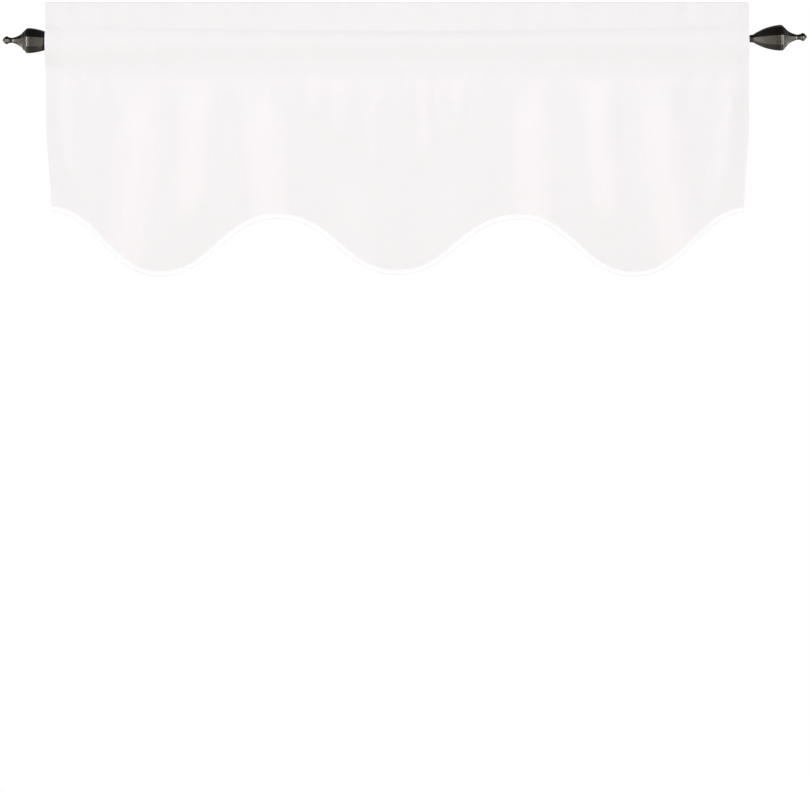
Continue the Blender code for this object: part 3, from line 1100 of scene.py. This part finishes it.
polyester, tree, shader = new_finish(
    "white sewing thread", {"Roughness": 0.5, "Sheen Weight": 0.2, "Specular IOR Level": 0.4}
)
place = add_node(tree, "ShaderNodeTexCoord")
twist = add_node(
    tree,
    "ShaderNodeTexNoise",
    {"Scale": 1 / twist_pitch, "Detail": 2.0},
    {"Vector": place.outputs["Object"]},
)
shade = add_node(tree, "ShaderNodeValToRGB", links={"Fac": twist.outputs["Fac"]})
set_stops(shade.color_ramp, [(0.0, colour("f2eff0")), (1.0, colour("fdfbfb"))])
tree.links.new(shade.outputs["Color"], shader.inputs["Base Color"])
stitching.data.materials.append(polyester)
print(polyester.name)

# %% [markdown]
# ## Dark bronze
#
# The rod is drawn tube and the finials are castings, all with a dark bronze plating under a thin
# lacquer. A plated piece mirrors what stands round it, darkened by its own colour, so a face that looks
# up at a dark ceiling is nearly black and one that looks at the room is grey. The plating varies a
# little in tone and polish from handling.

# %% The metal's finish
cloud_size = 9 * mm
pit_size = 0.6 * mm

bronze, tree, shader = new_finish("dark bronze plating", {"Metallic": 1.0})
place = add_node(tree, "ShaderNodeTexCoord")
clouds = add_node(
    tree,
    "ShaderNodeTexNoise",
    {"Scale": 1 / cloud_size, "Detail": 4.0},
    {"Vector": place.outputs["Object"]},
)
tone = add_node(tree, "ShaderNodeValToRGB", links={"Fac": clouds.outputs["Fac"]})
set_stops(tone.color_ramp, [(0.3, colour("59554f")), (0.7, colour("635f58"))])
polish = add_node(
    tree,
    "ShaderNodeMapRange",
    {"From Min": 0.3, "From Max": 0.7, "To Min": 0.17, "To Max": 0.25},
    {"Value": clouds.outputs["Fac"]},
)
pits = add_node(
    tree,
    "ShaderNodeTexNoise",
    {"Scale": 1 / pit_size, "Detail": 2.0},
    {"Vector": place.outputs["Object"]},
)
bump = add_node(
    tree, "ShaderNodeBump", {"Strength": 0.06, "Distance": 0.05 * mm}, {"Height": pits.outputs["Fac"]}
)
tree.links.new(tone.outputs["Color"], shader.inputs["Base Color"])
tree.links.new(polish.outputs["Result"], shader.inputs["Roughness"])
tree.links.new(bump.outputs["Normal"], shader.inputs["Normal"])

for finial in (finial_left, finial_right):
    finial.data.materials.append(bronze)
rod = bpy.data.objects["curtain_rod"]
for slot in rod.material_slots:
    slot.material = bronze
print(bronze.name)

# %% [markdown]
# ## The studio
#
# The background is plain white, and most of the light comes evenly from all round, which leaves only
# faint shading in the folds. One large soft lamp in front, a little above the rod, lights the pocket's
# top and leaves its underside darker, and another does the same for the back. The metal needs something
# to mirror, so what glossy rays see is a studio in bands: a dark ceiling, a grey middle that is pale low
# down, and a dim floor. It is dimmest straight ahead, where the camera stands, and brighter to both
# sides. Two tall panels beside the rod's ends draw the thin highlights on the finials' rings. They
# light nothing else.

# %% What the metal mirrors
scene = bpy.context.scene
scene.view_settings.view_transform = "Standard"

world = bpy.data.worlds.new("studio")
scene.world = world
world.use_nodes = True
sky = world.node_tree
sky.nodes.clear()
place = add_node(sky, "ShaderNodeTexCoord")
direction = add_node(sky, "ShaderNodeSeparateXYZ", links={"Vector": place.outputs["Generated"]})
height = add_node(
    sky,
    "ShaderNodeMapRange",
    {"From Min": -1.0, "From Max": 1.0},
    {"Value": direction.outputs["Z"]},
)
Band = namedtuple("Band", "z grey")
studio_bands = (
    Band(z=-1.0, grey=0.46),
    Band(z=-0.82, grey=0.46),
    Band(z=-0.60, grey=0.90),
    Band(z=-0.30, grey=1.05),
    Band(z=-0.12, grey=0.76),
    Band(z=0.12, grey=0.50),
    Band(z=0.55, grey=0.10),
    Band(z=1.0, grey=0.08),
)
bands = add_node(sky, "ShaderNodeValToRGB", links={"Fac": height.outputs["Result"]})
stops = [((band.z + 1) / 2, (band.grey, band.grey, band.grey, 1)) for band in studio_bands]
set_stops(bands.color_ramp, stops)
sideways = add_node(sky, "ShaderNodeMath", {"operation": "ABSOLUTE"}, {0: direction.outputs["X"]})
brighter_sides = add_node(
    sky,
    "ShaderNodeMapRange",
    {"From Min": 0.0, "From Max": 0.83, "To Min": 0.5, "To Max": 1.5},
    {"Value": sideways.outputs["Value"]},
)
mirrored = add_node(
    sky,
    "ShaderNodeBackground",
    links={"Color": bands.outputs["Color"], "Strength": brighter_sides.outputs["Result"]},
)
print(len(studio_bands), "stops from the floor to the ceiling")

# %% Light from all round, and the backdrop
ambient = 0.69
white = (1, 1, 1, 1)

around = add_node(sky, "ShaderNodeBackground", {"Color": white, "Strength": ambient})
backdrop = add_node(sky, "ShaderNodeBackground", {"Color": white, "Strength": 1.0})
rays = add_node(sky, "ShaderNodeLightPath")
seen_in_metal = add_node(
    sky,
    "ShaderNodeMixShader",
    links={0: rays.outputs["Is Glossy Ray"], 1: around.outputs[0], 2: mirrored.outputs[0]},
)
seen_by_camera = add_node(
    sky,
    "ShaderNodeMixShader",
    links={0: rays.outputs["Is Camera Ray"], 1: seen_in_metal.outputs[0], 2: backdrop.outputs[0]},
)
add_node(sky, "ShaderNodeOutputWorld", links={"Surface": seen_by_camera.outputs[0]})
print(f"even light at {ambient} of the backdrop's white")

# %% Lamps
aim_height = -0.15
Lamp = namedtuple("Lamp", "name x y z aim_x size watts for_metal")
lamps = (
    Lamp("soft lamp", x=-0.2, y=-4.6, z=0.7, aim_x=0, size=(3.0, 2.0), watts=73, for_metal=False),
    Lamp("soft lamp behind", x=0, y=4.6, z=0.7, aim_x=0, size=(3.0, 2.0), watts=70, for_metal=False),
    Lamp("panel left", x=-1.42, y=-1.2, z=-0.3, aim_x=-0.63, size=(0.45, 0.9), watts=7, for_metal=True),
    Lamp("panel right", x=1.42, y=-1.2, z=-0.3, aim_x=0.63, size=(0.45, 0.9), watts=7, for_metal=True),
)
for lamp in lamps:
    light = bpy.data.lights.new(lamp.name, "AREA")
    light.shape = "RECTANGLE"
    light.size, light.size_y = lamp.size
    light.energy = lamp.watts
    item = bpy.data.objects.new(lamp.name, light)
    item.location = (lamp.x, lamp.y, lamp.z)
    aim = Vector((lamp.aim_x, 0, aim_height))
    item.rotation_euler = (aim - item.location).to_track_quat("-Z", "Y").to_euler()
    item.visible_diffuse = not lamp.for_metal
    item.visible_glossy = lamp.for_metal
    bpy.context.collection.objects.link(item)
print(len(lamps), "lamps")

# %% [markdown]
# ## The floor
#
# A valance hangs about two metres above the floor. The floor is a plain pale disc, low enough to stay
# out of the straight view, and it shows when the camera looks down. The metal doesn't mirror it,
# because the studio's bands already hold a floor.

# %% Floor
floor_height = -2.0
floor_radius = 4.0

disc = bmesh.new()
bmesh.ops.create_circle(disc, cap_ends=True, segments=96, radius=floor_radius)
bmesh.ops.translate(disc, vec=(0, 0, floor_height), verts=disc.verts)
mesh = bpy.data.meshes.new("floor")
disc.to_mesh(mesh)
disc.free()
floor = bpy.data.objects.new("floor", mesh)
bpy.context.collection.objects.link(floor)
floor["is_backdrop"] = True
floor.visible_glossy = False
paint, tree, shader = new_finish("pale floor paint", {"Base Color": colour("e6e5e3"), "Roughness": 0.7})
floor.data.materials.append(paint)
print(f"floor {-floor_height} m below the rod")

# %% [markdown]
# ## The sizes
#
# Both boxes are printed: the solids' box and the box of the visible pieces, which can reach beyond it
# where cloth stands proud. The visible pieces have to stay within the solids' box, apart from what
# cloth may stand proud.

# %% Sizes, and the end
bpy.context.view_layer.update()
shown_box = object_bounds()
for name, (low, high) in (("solids", cad_box), ("shown", shown_box)):
    print(name, [round((b - a) / mm, 1) for a, b in zip(low, high)], "mm")
